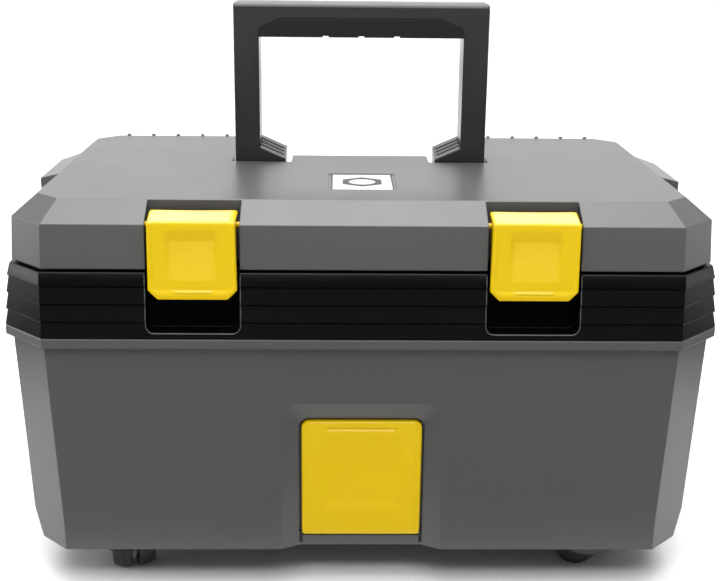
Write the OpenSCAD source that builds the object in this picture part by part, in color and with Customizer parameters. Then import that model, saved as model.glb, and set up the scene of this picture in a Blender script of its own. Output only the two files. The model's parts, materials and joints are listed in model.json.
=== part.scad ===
// Wheeled toolbox with a lift-out tray.
// Frame: +X to the right, +Y to the rear, +Z up; the origin is on the floor
// under the middle of the box.

/* [Box] */
// Width of the lid across its side walls
lid_w = 560; // [500:5:680]
// Depth of the lid across its front and rear walls
lid_d = 350; // [320:5:430]
// Gap between the floor and the underside of the tub
ground_gap = 34; // [30:1:45]
// Height of the tub, underside to the top of its lip
tub_h = 191; // [170:1:260]
// Height of the rim frame between tub and lid
rim_h = 52.5; // [50:0.5:66]
// Gap between the rim frame and the lid's lower edge
lid_gap = 2.3; // [1.5:0.1:3]
// Height of the lid's upright wall
lid_wall_h = 35.2; // [32:0.2:60]
// Rise of the sloped border round the lid's top
lid_rise = 15; // [12:0.5:22]
// Inset of the sloped border at the sides
lid_slope_x = 18; // [12:1:26]
// Inset of the sloped border at front and rear
lid_slope_y = 26; // [20:1:32]
// Length of the 45 degree corner cuts, measured along each side
corner_cut = 28.5; // [22:0.5:40]
// Wall thickness of the grey mouldings
wall = 3; // [2.5:0.1:4]
// Distance that the tub's wall stands out past the lid's wall
tub_step = 4.5; // [3:0.5:6]
// Inward lean of the tub's wall over its height
tub_draft = 5.8; // [3:0.2:9]
// Width of the bevel along the foot of the tub's sides
foot_bevel = 7.3; // [4:0.1:12]
// Height of the bevel along the foot of the tub's sides
foot_bevel_h = 24; // [12:1:36]
// Height of the tub's lip
lip_h = 8; // [6:0.5:12]
// Distance that the rim frame's foot stands out past its top
rim_flare = 6.5; // [4:0.5:9]

/* [Handle] */
// Width of the handle across its legs
handle_w = 228.5; // [190:0.5:250]
// Height of the grip's top above the lid's top
handle_rise = 142.4; // [120:0.2:150]
// Depth of the handle, front to rear
handle_t = 34; // [28:1:36]
// Width of each leg, seen from the front
leg_w = 22.5; // [18:0.5:28]
// Height of the bar, seen from the front
bar_h = 30.4; // [24:0.2:36]
// Distance that each foot reaches in from its leg
foot_reach = 23.2; // [16:0.2:26]
// Distance that the folded handle reaches past the lid's rear wall
fold_overhang = 15.4; // [8:0.2:20]
// Diameter of the handle's pivot pins
handle_pin_d = 6; // [5:0.5:8]

/* [Latches] */
// Distance between the two latches, middle to middle
latch_spacing = 268; // [262:1:330]
// Width of a latch
latch_w = 70; // [50:1:86]
// Height of a latch's front panel
latch_h = 63; // [58:1:72]
// Diameter of a latch's pivot stubs
latch_stub_d = 4.4; // [3.6:0.2:5.4]

/* [Front door] */
// Width of the door of the front bin
door_w = 99.5; // [80:0.5:130]
// Height of the door of the front bin
door_h = 105.6; // [80:0.2:112]
// Height of the door's lower edge above the tub's underside
door_sill = 10; // [9:0.5:16]
// Diameter of the door's hinge pin
door_pin_d = 3; // [2:0.5:4]
// Depth of the small-parts bin behind the door
bin_depth = 42; // [25:1:60]

/* [Tray] */
// Depth of the tray below its flange
tray_depth = 50; // [35:1:60]
// Distance from the rim frame's top down to the ledge that carries the tray
ledge_drop = 24; // [20:0.5:30]
// Width of the ledge
ledge_w = 8; // [6:0.5:12]
// Wall thickness of the tray
tray_wall = 2; // [1.6:0.1:3]

/* [Casters] */
// Diameter of a caster's wheels
wheel_d = 40; // [34:1:44]
// Width of one wheel of a twin
wheel_w = 15; // [12:0.5:16]
// Distance from the swivel axis back to the axle
trail = 7; // [5:0.5:9]
// Diameter of a caster's hood
hood_d = 47; // [44:0.5:54]
// Diameter of a caster's stem
stem_d = 8; // [7:0.5:10]
// Diameter of a caster's axle
axle_d = 5; // [4:0.5:6]

/* [Hinges and plate] */
// Diameter of the lid's hinge pins
hinge_pin_d = 4; // [3:0.5:5]
// Width of the label plate
plate_w = 50; // [30:1:70]
// Depth of the label plate
plate_d = 61; // [40:1:66]

/* [Clearances] */
// Radial clearance of a pin in its bore
fit = 0.05; // [0.02:0.01:0.1]
// Gap between pieces that sit side by side
seat_gap = 0.3; // [0.2:0.05:0.6]
// Gap round a piece that swings
swing_gap = 0.8; // [0.6:0.1:1.2]

/* [Hidden] */
$fn = 48;
eps = 0.02;
GREY = "#66676a";
BLACK = "#1d1d1f";
YELLOW = "#e8c800";
STEEL = "#b9bcc0";

// Overall levels
lid_x = lid_w / 2;
lid_y = lid_d / 2;
z_tub = ground_gap;
z_seat = z_tub + tub_h;
z_rim = z_seat + rim_h;
z_lid = z_rim + lid_gap;
z_shoulder = z_lid + lid_wall_h;
z_top = z_shoulder + lid_rise;

// Octagonal outlines: [height, half width, half depth, corner cut]
diag = 2 - sqrt(2);
lid_draft = 2;
top_cut = corner_cut - 9;
rim_x = lid_x + tub_step - 0.5;
rim_y = lid_y + tub_step - 0.5;
rim_cut = corner_cut + 2;
lip_x = rim_x + rim_flare;
lip_y = rim_y + rim_flare;
tub_x = lid_x + tub_step;
tub_y = lid_y + tub_step;
tub_cut = corner_cut + 2.9;
tub_floor = 3.5;
lip_step = 6;

// Handle
pivot_drop = handle_t / 2;
handle_reach = handle_rise + pivot_drop;
pivot_y = lid_y + fold_overhang - handle_reach;
pivot_z = z_top - pivot_drop;
handle_x = handle_w / 2;
leg_x = handle_x - leg_w;
foot_x = leg_x - foot_reach;
well_side = 3;
well_front = pivot_y - handle_t / 2 - 2;
well_x = handle_x + well_side;
well_floor = pivot_z - pivot_drop - 4;
island_x = foot_x - 5.5;
island_y = pivot_y + 13;
pin_boss = 6.5;
pin_tail = 6;

// Label plate
label_y = (well_front - (lid_y - lid_slope_y)) / 2 - 8;
label_border = 3.5;
label_step = 0.8;
label_sink = 1.8;

// Latches
latch_x = latch_spacing / 2;
latch_front = -(lid_y + 9);
latch_back = -(lid_y - 17);
latch_pivot_y = -(lid_y - 7);
latch_pivot_z = z_shoulder - 1;
latch_top = z_shoulder + 4.5;
latch_foot = latch_top - latch_h;
notch_x = latch_w / 2 + 2;
notch_back = -(lid_y - 25);
pocket_back = -(lid_y - 7);
pocket_floor = latch_foot - 26.5;
catch_z = latch_foot + 8;
catch_h = 4;

// Hinges of the lid
hinge_r = 4.5;
hinge_x = lid_x - 90;
hinge_y = lip_y - hinge_r;
hinge_z = z_rim + lid_gap / 2;
knuckle_w = 24;
ear_w = 8;

// Front door: its local frame has its origin on the hinge axis
lean = atan(tub_draft / (tub_h - lip_h - foot_bevel_h));
door_barrel = 4;
door_t = 6;
door_recess = 8.5;
door_proud = 2.5;
door_axis_z = z_tub + door_sill + door_barrel;
door_axis_y = -(tub_y - tub_draft) + door_recess - door_proud + door_barrel + 0.3;
door_floor = -door_barrel + door_proud;
pad_front = door_floor - door_recess + 0.5;
door_back = door_t - door_barrel + 0.5;
door_x = door_w / 2;
door_gap = 1.9;
border = 15;
recess_top = 18.5;
recess_side = 20;
bin_wall = 2.5;
bin_x = door_x - 3;
bin_top = door_h - door_barrel - 5;

// Tray and ledge
open_x = lid_x - 17;
open_y = lid_y - 17;
open_cut = corner_cut - 6;
ledge_z = z_rim - ledge_drop;
tray_x = open_x - ledge_w - 1;
tray_y = open_y - ledge_w - 1;
flange_t = 2.5;
tray_z = ledge_z + seat_gap;
tray_base = tray_z - tray_depth;
tray_grip_x = 62;
tray_grip_z = z_rim + 5;
tray_grip_t = 12;
divider_t = 1.6;
divider_x = (tray_x - tray_wall) / 3;

// Casters
caster_x = lid_x - 80;
caster_y = lid_y - 48;
wheel_r = wheel_d / 2;
wheel_gap = 2.6;
hood_r = hood_d / 2;
hood_rim = wheel_r - 3;
hood_top = wheel_d + 6;
caster_well_r = hood_r + 3;
caster_well_z = hood_top + 3;
stem_top = caster_well_z + 23;
stem_foot = hood_top - 5;
pocket_r = wheel_r + 1.2;
axle_half = wheel_gap + wheel_w - 3;

// Name, place and heading of each caster; the heading turns its wheels
CASTERS = [
  ["front_left", -1, -1, 195],
  ["front_right", 1, -1, 62],
  ["rear_left", -1, 1, -35],
  ["rear_right", 1, 1, 25]
];

function grow(r, t) = [r[0], r[1] + t, r[2] + t, r[3] + t * diag];
function octagon(r) =
  let (z = r[0], x = r[1], y = r[2], c = r[3])
  [[x - c, -y, z], [x, c - y, z], [x, y - c, z], [x - c, y, z],
   [c - x, y, z], [-x, y - c, z], [-x, c - y, z], [c - x, -y, z]];
function arc(cx, cy, r, a0, a1, n = 8) =
  [for (i = [0:n]) let (a = a0 + (a1 - a0) * i / n) [cx + r * cos(a), cy + r * sin(a)]];

// Solid through a stack of octagons, lowest first
module loft(rings) {
  n = len(rings);
  polyhedron(
    points = [for (r = rings) each octagon(r)],
    faces = concat(
      [[for (i = [0:7]) i]],
      [[for (i = [7:-1:0]) (n - 1) * 8 + i]],
      [for (k = [0:n - 2]) for (i = [0:7]) let (j = (i + 1) % 8)
        [k * 8 + i, (k + 1) * 8 + i, (k + 1) * 8 + j, k * 8 + j]]
    )
  );
}

module block(low, high) {
  translate(low) cube(high - low);
}

// Cylinder along X between two x values
module rod_x(x0, x1, r) {
  translate([x0, 0, 0]) rotate([0, 90, 0]) cylinder(r = r, h = x1 - x0);
}

// Outline in the YZ plane, extruded along X between two x values
module slab_x(x0, x1) {
  translate([x0, 0, 0]) rotate([90, 0, 90]) linear_extrude(x1 - x0) children();
}

// Outline in the XZ plane, extruded along Y between two y values
module slab_y(y0, y1) {
  translate([0, y1, 0]) rotate([90, 0, 0]) linear_extrude(y1 - y0) children();
}

module mirror_pair() {
  children();
  mirror([1, 0, 0]) children();
}

// ---------- Tub ----------
tub_foot_ring = [z_tub, tub_x - tub_draft - foot_bevel, tub_y - tub_draft - 0.8, tub_cut - foot_bevel];
tub_bevel_ring = [z_tub + foot_bevel_h, tub_x - tub_draft, tub_y - tub_draft, tub_cut];
tub_neck_ring = [z_seat - lip_h, tub_x, tub_y, tub_cut];
tub_lip_ring = [z_seat - lip_h, lip_x, lip_y, rim_cut + rim_flare];

module tub_body() {
  loft([
    tub_foot_ring,
    tub_bevel_ring,
    tub_neck_ring,
    tub_lip_ring,
    [z_seat - 1, tub_lip_ring[1], tub_lip_ring[2], tub_lip_ring[3]],
    [z_seat, lip_x - 0.8, lip_y - 0.8, rim_cut + rim_flare - 0.5]
  ]);
}

module tub_cavity() {
  foot = grow(tub_foot_ring, -wall - 0.6);
  neck = grow(tub_neck_ring, -wall);
  loft([
    [z_tub + tub_floor, foot[1], foot[2], foot[3]],
    grow(tub_bevel_ring, -wall),
    neck,
    [z_seat + 1, neck[1], neck[2], neck[3]]
  ]);
}

module at_casters() {
  for (c = CASTERS) translate([c[1] * caster_x, c[2] * caster_y, 0]) children();
}

module in_door_frame() {
  translate([0, door_axis_y, door_axis_z]) rotate([lean, 0, 0]) children();
}

// Outline with rounded upper corners, in the XZ plane
module arch(x, z0, z1, r) {
  polygon(concat([[x, z0]], arc(x - r, z1 - r, r, 0, 90), arc(r - x, z1 - r, r, 90, 180), [[-x, z0]]));
}

module bin_block() {
  block([-bin_x - bin_wall, -1, -2], [bin_x + bin_wall, bin_depth + bin_wall, bin_top + bin_wall]);
  block([-door_x - border - 2, pad_front, -30], [door_x + border + 2, door_back + wall, door_h + 14]);
  mirror_pair() block([door_x + door_gap, pad_front, -30], [door_x + border, door_barrel + 3, 8]);
}

module door_hollow() {
  surface_y = door_floor - door_recess;
  hull() {
    slab_y(surface_y - 2, surface_y - 2 + eps) arch(door_x + recess_side, -60, door_h + recess_top, 16);
    slab_y(door_floor - eps, door_floor) arch(door_x + door_gap, -60, door_h - door_barrel + door_gap, 8);
  }
  slab_y(door_floor - 1, door_back)
    arch(door_x + door_gap, -door_barrel - swing_gap, door_h - door_barrel + door_gap, 8);
  block([-bin_x, 1, 0], [bin_x, bin_depth, bin_top]);
  rod_x(-door_x - door_gap, door_x + door_gap, door_barrel + swing_gap);
  rod_x(-door_x - 8, door_x + 8, door_pin_d / 2 + fit);
  mirror_pair()
    block([door_x - 0.6, door_floor - 1, -door_barrel - 8], [door_x + door_gap, 3, 0]);
}

module tub() {
  color(GREY) difference() {
    union() {
      difference() {
        tub_body();
        tub_cavity();
      }
      intersection() {
        tub_body();
        in_door_frame() bin_block();
      }
      at_casters() {
        translate([0, 0, z_tub + 1]) cylinder(r = caster_well_r + wall, h = caster_well_z + wall - z_tub - 1);
        translate([0, 0, caster_well_z]) cylinder(r = stem_d / 2 + 4, h = stem_top + 3 - caster_well_z);
      }
    }
    in_door_frame() door_hollow();
    at_casters() {
      translate([0, 0, z_tub - 1]) cylinder(r = caster_well_r, h = caster_well_z - z_tub + 1);
      cylinder(r = stem_d / 2 + fit, h = stem_top + 1);
    }
  }
}

// ---------- Rim frame ----------
strip_out = 2.6;
strip_back = (4 * strip_out - rim_flare) / 3;
strip_first = 10.7;
strip_pitch = 14.2;
groove_h = 0.9;

function strip_top(k) = k == 0 ? z_rim : z_rim - strip_first - (k - 1) * strip_pitch;
function strip_foot(k) = k == 3 ? z_seat : strip_top(k + 1);
function rim_ring(z, out) = [z, rim_x + out, rim_y + out, rim_cut + out];

module rim_body() {
  loft([
    for (k = [3:-1:0])
      each [
        rim_ring(strip_foot(k), strip_out + k * (strip_out - strip_back)),
        rim_ring(strip_top(k) - (k == 0 ? 1 : groove_h), k * (strip_out - strip_back)),
        if (k == 0) rim_ring(z_rim, -0.7)
      ]
  ]);
}

module rim_hollow() {
  skin = grow(rim_ring(z_rim, 0), -wall);
  inner = [0, open_x, open_y, open_cut];
  foot = grow(tub_neck_ring, -wall - 3.3);
  loft([
    [z_seat + wall, skin[1], skin[2], skin[3]],
    [z_rim - wall, skin[1], skin[2], skin[3]]
  ]);
  loft([
    [z_seat - 1, foot[1], foot[2], foot[3]],
    [z_seat + wall + 1, foot[1], foot[2], foot[3]]
  ]);
  loft([
    [z_seat + 1, inner[1], inner[2], inner[3]],
    [z_rim + 1, inner[1], inner[2], inner[3]]
  ]);
}

module ring_wall(z0, z1, outer, t) {
  difference() {
    loft([[z0, outer[1], outer[2], outer[3]], [z1, outer[1], outer[2], outer[3]]]);
    inner = grow(outer, -t);
    loft([[z0 - 1, inner[1], inner[2], inner[3]], [z1 + 1, inner[1], inner[2], inner[3]]]);
  }
}

module hinge_ears(gap, r) {
  mirror_pair()
    for (s = [-1, 1])
      translate([hinge_x + s * (knuckle_w + ear_w) / 2, hinge_y, hinge_z])
        rod_x(-ear_w / 2 - gap, ear_w / 2 + gap, r);
}

module hinge_middles(gap, r) {
  mirror_pair() translate([hinge_x, hinge_y, hinge_z]) rod_x(-knuckle_w / 2 - gap, knuckle_w / 2 + gap, r);
}

module hinge_bores() {
  mirror_pair()
    translate([hinge_x, hinge_y, hinge_z])
      rod_x(-knuckle_w / 2 - ear_w - 1, knuckle_w / 2 + ear_w + 1, hinge_pin_d / 2 + fit);
}

module at_latches() {
  for (s = [-1, 1]) translate([s * latch_x, 0, 0]) children();
}

// Outline of a latch pocket in the XZ plane, with rounded lower corners
module pocket_outline(x, z0, z1, r) {
  polygon(concat(arc(r - x, z0 + r, r, 180, 270), arc(x - r, z0 + r, r, 270, 360), [[x, z1], [-x, z1]]));
}

module rim_frame() {
  tongue = grow([0, lid_x + lid_draft, lid_y + lid_draft, corner_cut + lid_draft * diag], -wall - 1.3);
  skirt = grow(tub_neck_ring, -wall - seat_gap);
  inner = [0, open_x, open_y, open_cut];
  color(BLACK) difference() {
    union() {
      difference() {
        rim_body();
        rim_hollow();
      }
      ring_wall(ledge_z - wall, z_rim - 1, grow(inner, 2.5), 2.5);
      ring_wall(ledge_z - wall, ledge_z, grow(inner, 1), ledge_w + 1);
      ring_wall(z_seat - 9, z_seat + 1, skirt, 3);
      ring_wall(z_rim - 1, z_rim + 6, tongue, 2.2);
      at_latches() pocket_wall();
      hinge_ears(0, hinge_r);
      ear_webs();
    }
    at_latches() {
      slab_y(-lip_y - 5, pocket_back) pocket_outline(notch_x, pocket_floor, z_rim + 10, 6);
      block([-notch_x - wall - 1.2, -lip_y, z_rim], [notch_x + wall + 1.2, notch_back + 8, z_rim + 10]);
    }
    hinge_middles(seat_gap, hinge_r + 0.7);
    hinge_bores();
  }
  color(BLACK) at_latches() catch_rib();
}

// Solid round a latch pocket, inside the rim frame's skin
module pocket_wall() {
  slab_x(-notch_x - wall, notch_x + wall)
    polygon([
      [pocket_back + wall, z_seat + 1], [-rim_y - rim_flare + 1, z_seat + 1], [-rim_y + 1, z_rim - 1],
      [-rim_y + 1, z_rim], [pocket_back + wall, z_rim]
    ]);
}

module ear_webs() {
  mirror_pair()
    for (s = [-1, 1])
      translate([hinge_x + s * (knuckle_w + ear_w) / 2, 0, 0])
        slab_x(-ear_w / 2, ear_w / 2)
          polygon([
            [rim_y - 1, hinge_z - 24], [hinge_y + hinge_r - 0.5, hinge_z - 8],
            [hinge_y + hinge_r, hinge_z], [rim_y - 1, z_rim - 0.5]
          ]);
}

module catch_rib() {
  slab_x(-12, 12)
    polygon([
      [pocket_back + 0.5, catch_z], [pocket_back + 0.5, catch_z + catch_h + 3],
      [pocket_back - 3.2, catch_z + catch_h], [pocket_back - 3.2, catch_z + 1]
    ]);
}

// ---------- Lid ----------
shoulder_ring = [z_shoulder, lid_x, lid_y, corner_cut];
lid_foot_ring = grow([z_lid, lid_x, lid_y, corner_cut], lid_draft);
plateau_ring = [z_top, lid_x - lid_slope_x, lid_y - lid_slope_y, top_cut];

module lid_body() {
  loft([lid_foot_ring, shoulder_ring, plateau_ring]);
}

module lid_cavity() {
  foot = grow(lid_foot_ring, -wall);
  shoulder = grow(shoulder_ring, -wall);
  loft([
    [z_lid - 1, foot[1], foot[2], foot[3]],
    [z_shoulder - 1, shoulder[1], shoulder[2], shoulder[3]],
    [z_top - wall, plateau_ring[1] - 1.5, plateau_ring[2] - 1, plateau_ring[3]]
  ]);
}

// Raised pads in the middle of the side borders
module side_pads() {
  rise = lid_rise - 5.5;
  mirror_pair()
    intersection() {
      rotate([90, 0, 0])
        translate([0, 0, -70])
          linear_extrude(140)
            polygon([
              [lid_x, z_shoulder], [lid_x, z_shoulder + rise],
              [lid_x - lid_slope_x, z_top], [lid_x - lid_slope_x - 1, z_top - 1.2],
              [lid_x - 1, z_shoulder - 1.2]
            ]);
      translate([0, 0, z_shoulder - 5])
        linear_extrude(lid_rise + 10)
          polygon([
            [lid_x + 10, -38.6], [lid_x + 10, 38.6],
            [lid_x - lid_slope_x - 12, 56.3], [lid_x - lid_slope_x - 12, -56.3]
          ]);
    }
}

// Short ribs across the rear border, five on each side
module rear_ribs() {
  first = lid_x - 146;
  top_y = lid_y - lid_slope_y;
  mirror_pair()
    for (i = [0:4])
      slab_x(first + i * 25 - 1.5, first + i * 25 + 1.5)
        polygon([
          [top_y + 0.5, z_top - 1.5], [top_y + 0.5, z_top + 1], [top_y + 1.5, z_top + 1.8],
          [top_y + 4, z_top + 1.2], [lid_y - 1, z_shoulder + 3], [lid_y, z_shoulder],
          [lid_y - 0.6, z_shoulder - 1]
        ]);
}

module latch_surround() {
  at_latches()
    block([-notch_x - wall, -lid_y - 5, z_lid], [notch_x + wall, notch_back + wall, z_top]);
}

module handle_well(grown) {
  block(
    [-well_x - grown, well_front - grown, well_floor - grown],
    [well_x + grown, lid_y + 20, z_top + 10]
  );
}

module island(t) {
  front = well_front - wall - 5;
  block([t - island_x, front, well_floor - wall - 1], [island_x - t, island_y - t, z_top - t]);
}

module at_pivots() {
  translate([0, pivot_y, pivot_z]) mirror_pair() children();
}

module label_recess() {
  x = plate_w / 2;
  y = plate_d / 2;
  translate([0, label_y, 0]) {
    block([-x - label_border, -y - label_border, z_top - label_step], [x + label_border, y + label_border, z_top + 1]);
    block([-x - 1, -y - 1, z_top - label_sink], [x + 1, y + 1, z_top + 1]);
  }
}

module lid() {
  color(GREY) difference() {
    union() {
      difference() {
        lid_body();
        lid_cavity();
      }
      side_pads();
      rear_ribs();
      intersection() {
        lid_body();
        union() {
          latch_surround();
          handle_well(wall);
        }
      }
      at_pivots() rod_x(well_x, well_x + pin_tail + 1, pin_boss);
      hinge_middles(0, hinge_r);
      knuckle_webs();
    }
    difference() {
      handle_well(0);
      island(0);
    }
    island(wall);
    at_latches() {
      block([-notch_x, -lid_y - 10, z_lid - 1], [notch_x, notch_back, z_top + 1]);
      translate([0, latch_pivot_y, latch_pivot_z])
        rod_x(-notch_x - wall - 1, notch_x + wall + 1, latch_stub_d / 2 + fit);
    }
    at_pivots() rod_x(island_x - wall - 1, well_x + pin_tail, handle_pin_d / 2 + fit);
    hinge_ears(seat_gap, hinge_r + 0.7);
    hinge_bores();
    label_recess();
  }
  color(GREY) at_pivots() difference() {
    rod_x(island_x - wall - 5, island_x - wall + eps, pin_boss);
    rod_x(island_x - wall - 4, island_x, handle_pin_d / 2 + fit);
  }
}

module knuckle_webs() {
  mirror_pair()
    slab_x(hinge_x - knuckle_w / 2, hinge_x + knuckle_w / 2)
      polygon([
        [lid_y - 1, z_lid], [hinge_y - 3, z_lid], [hinge_y + 3, hinge_z + 3],
        [lid_y + 0.5, hinge_z + 16], [lid_y - 1, hinge_z + 16]
      ]);
}

module label_plate() {
  color("white")
    translate([0, label_y, 0])
      block([-plate_w / 2, -plate_d / 2, z_top - label_sink], [plate_w / 2, plate_d / 2, z_top - label_step / 2]);
}

module lid_hinge_pin(side) {
  color(STEEL)
    translate([side * hinge_x, hinge_y, hinge_z])
      rod_x(-knuckle_w / 2 - ear_w - 0.8, knuckle_w / 2 + ear_w + 0.8, hinge_pin_d / 2);
}

// ---------- Latches ----------
// Outline of the front panel in the XZ plane, with cut lower corners
module panel_outline(inset) {
  x = latch_w / 2 - inset;
  cut = 7.5;
  polygon([
    [-x, latch_top - inset * 0.3], [x, latch_top - inset * 0.3], [x, latch_foot + cut],
    [x - cut, latch_foot + inset], [cut - x, latch_foot + inset], [-x, latch_foot + cut]
  ]);
}

module latch() {
  back_z = latch_top + 4;
  color(YELLOW) difference() {
    union() {
      hull() {
        slab_y(latch_front + 3, latch_front + 5.5) panel_outline(0);
        slab_y(latch_front, latch_front + 0.5) panel_outline(3.6);
      }
      slab_x(-latch_w / 2, latch_w / 2)
        polygon([
          [latch_front + 2.9, latch_top - 0.5], [latch_back, back_z], [latch_back + 0.8, back_z - 2.6],
          [latch_front + 5.4, latch_top - 5]
        ]);
      mirror_pair()
        slab_x(latch_w / 2 - 2.6, latch_w / 2)
          polygon([
            [latch_front + 3, latch_top - 2], [latch_back - 0.4, back_z - 1],
            [latch_back - 3, latch_pivot_z - 8], [pocket_back - 4, z_rim + 8],
            [pocket_back - 4, latch_foot + 9], [latch_front + 4, latch_foot + 7.6]
          ]);
      translate([0, latch_pivot_y, latch_pivot_z])
        rod_x(-notch_x - wall + 0.4, notch_x + wall - 0.4, latch_stub_d / 2);
      slab_x(-10, 10)
        polygon([
          [latch_front + 5, catch_z - 4], [latch_front + 5, catch_z + 6],
          [pocket_back - 3.7, catch_z + 2.5], [pocket_back - 3.7, catch_z - 1.5]
        ]);
    }
    hull() {
      slab_y(latch_front - 1, latch_front)
        dish_outline(latch_w * 0.3, latch_top - 5.5, latch_foot + 12);
      slab_y(latch_front + 2.2, latch_front + 2.3)
        dish_outline(latch_w * 0.245, latch_top - 15.5, latch_top - 17);
    }
    translate([0, latch_front - 0.4, latch_foot + 4.9]) rod_x(-16, 16, 1.4);
    translate([0, latch_pivot_y, latch_pivot_z])
      rod_x(-latch_w / 2 + 2.6, latch_w / 2 - 2.6, latch_stub_d / 2 + 0.2);
  }
}

module dish_outline(x, z1, z0) {
  polygon([[-x, z1], [x, z1], [x, z0], [-x, z0]]);
}

// ---------- Handle ----------
grip_top_z = handle_reach - 14.5;

module grip_outline(gap) {
  under = handle_reach - bar_h;
  slope_x = leg_x - 21;
  polygon([
    [-leg_x - gap, under - 1], [leg_x + gap, under - 1], [leg_x + gap, under + 2.6 + gap],
    [leg_x - 2.2 + gap, under + 7.7 + gap], [slope_x + gap, grip_top_z + gap],
    [-slope_x - gap, grip_top_z + gap], [2.2 - leg_x - gap, under + 7.7 + gap],
    [-leg_x - gap, under + 2.6 + gap]
  ]);
}

// The handle's outline from the side, rounded at its top and round its pivot
module handle_side() {
  h = handle_t / 2;
  r = 5;
  polygon(concat(arc(0, 0, h, 180, 360, 24), arc(h - r, handle_reach - r, r, 0, 90),
    arc(r - h, handle_reach - r, r, 90, 180)));
}

module handle_front() {
  under = handle_reach - bar_h;
  r = 3;
  difference() {
    polygon(concat([[handle_x, -handle_t]], arc(handle_x - r, handle_reach - r, r, 0, 90),
      arc(r - handle_x, handle_reach - r, r, 90, 180), [[-handle_x, -handle_t]]));
    polygon([[-leg_x, -handle_t - 1], [leg_x, -handle_t - 1], [leg_x, under], [-leg_x, under]]);
  }
}

module handle_foot() {
  h = handle_t / 2;
  rise = 6;
  hull()
    for (s = [-1, 1])
      slab_y(s < 0 ? -h : h - eps, s < 0 ? eps - h : h)
        polygon([
          [leg_x + 1, -h], [foot_x, -h], [foot_x, 19.3 + (s + 1) / 2 * rise],
          [leg_x + 0.2, 29.7 + (s + 1) / 2 * rise], [leg_x + 1, 29.7]
        ]);
  for (i = [-1:1]) {
    lift = (i * 8 + 1 + h) / handle_t * rise;
    slab_y(i * 8 - 1, i * 8 + 1)
      polygon([
        [foot_x + 1.5, 18 + lift], [foot_x + 2.2, 20.8 + lift],
        [leg_x + 0.2, 30.5 + lift], [leg_x + 1, 28 + lift]
      ]);
  }
}

module handle_frame() {
  color(BLACK)
    translate([0, pivot_y, pivot_z])
      difference() {
        intersection() {
          union() {
            slab_y(-handle_t / 2, handle_t / 2) handle_front();
            mirror_pair() handle_foot();
          }
          slab_x(-handle_x - 1, handle_x + 1) handle_side();
        }
        slab_y(-handle_t, handle_t) grip_outline(0.15);
        rod_x(-handle_x - 1, handle_x + 1, handle_pin_d / 2 + fit);
      }
}

module handle_grip() {
  under = handle_reach - bar_h;
  color(BLACK)
    translate([0, pivot_y, pivot_z])
      difference() {
        intersection() {
          slab_y(-handle_t / 2, handle_t / 2) grip_outline(0);
          block([-leg_x, -handle_t, under], [leg_x, handle_t, handle_reach]);
        }
        for (i = [-1:1])
          block([i * 32 - 2.6, -handle_t, under - 1], [i * 32 + 2.6, handle_t, under + 1.3]);
      }
}

module handle_pin(side) {
  x0 = island_x - wall - 3.5;
  x1 = well_x + pin_tail - 0.5;
  color(STEEL)
    translate([0, pivot_y, pivot_z])
      rod_x(side > 0 ? x0 : -x1, side > 0 ? x1 : -x0, handle_pin_d / 2);
}

// ---------- Front door ----------
module front_door() {
  top = door_h - door_barrel;
  color(YELLOW)
    in_door_frame()
      difference() {
        union() {
          hull() {
            slab_y(-door_barrel + 1.6, door_t - door_barrel) arch(door_x, 0, top, 7);
            slab_y(-door_barrel, -door_barrel + 0.4) arch(door_x - 1.6, 0, top - 1.6, 6);
          }
          rod_x(-door_x, door_x, door_barrel);
        }
        hull() {
          slab_y(-door_barrel - 0.5, -door_barrel) dish_outline(door_x - 13.5, top - 15.5, 17);
          slab_y(-door_barrel + 2.6, -door_barrel + 2.7) dish_outline(door_x - 19, top - 30, 24);
        }
        translate([0, -door_barrel - 0.6, top - 7]) rod_x(-29, 29, 1.5);
        block([-door_x + 4, 0.6, door_barrel + 3], [door_x - 4, door_t, top - 4]);
        rod_x(-door_x - 1, door_x + 1, door_pin_d / 2 + fit);
      }
}

module door_hinge_pin() {
  color(STEEL) in_door_frame() rod_x(-door_x - 7.5, door_x + 7.5, door_pin_d / 2);
}

// ---------- Tray ----------
module tray() {
  cut = open_cut - 5;
  top = tray_z + flange_t;
  flange = [0, open_x - 0.7, open_y - 0.7, open_cut];
  foot = [tray_base, tray_x - 4, tray_y - 4, cut];
  neck = [tray_z, tray_x, tray_y, cut];
  inner_x = tray_x - tray_wall - 4;
  inner_y = tray_y - tray_wall - 4;
  color(BLACK) {
    difference() {
      union() {
        loft([foot, [top, neck[1], neck[2], neck[3]]]);
        loft([[tray_z, flange[1], flange[2], flange[3]], [top, flange[1], flange[2], flange[3]]]);
      }
      loft([
        [tray_base + tray_wall, foot[1] - tray_wall, foot[2] - tray_wall, cut - 1],
        [top + 1, neck[1] - tray_wall, neck[2] - tray_wall, cut - 1]
      ]);
    }
    difference() {
      block([-inner_x - 3, -tray_wall / 2, tray_base + 1], [inner_x + 3, tray_wall / 2, top]);
      block([-tray_grip_x, -tray_wall, tray_base + tray_wall], [tray_grip_x, tray_wall, top + 1]);
    }
    tray_grip();
    mirror_pair()
      block([divider_x - tray_wall / 2, -1, tray_base + 1], [divider_x + tray_wall / 2, inner_y + 3, top]);
    mirror_pair() divider_slots();
  }
}

module tray_grip() {
  h = tray_grip_t / 2;
  difference() {
    slab_x(-tray_grip_x, tray_grip_x)
      polygon(concat([[tray_wall, tray_base + 1], [h, tray_z]], arc(h - 3, tray_grip_z - 3, 3, 0, 90, 4),
        arc(3 - h, tray_grip_z - 3, 3, 90, 180, 4), [[-h, tray_z], [-tray_wall, tray_base + 1]]));
    block([14 - tray_grip_x, -h - 1, tray_grip_z - 38], [tray_grip_x - 14, h + 1, tray_grip_z - 12]);
  }
}

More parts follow.
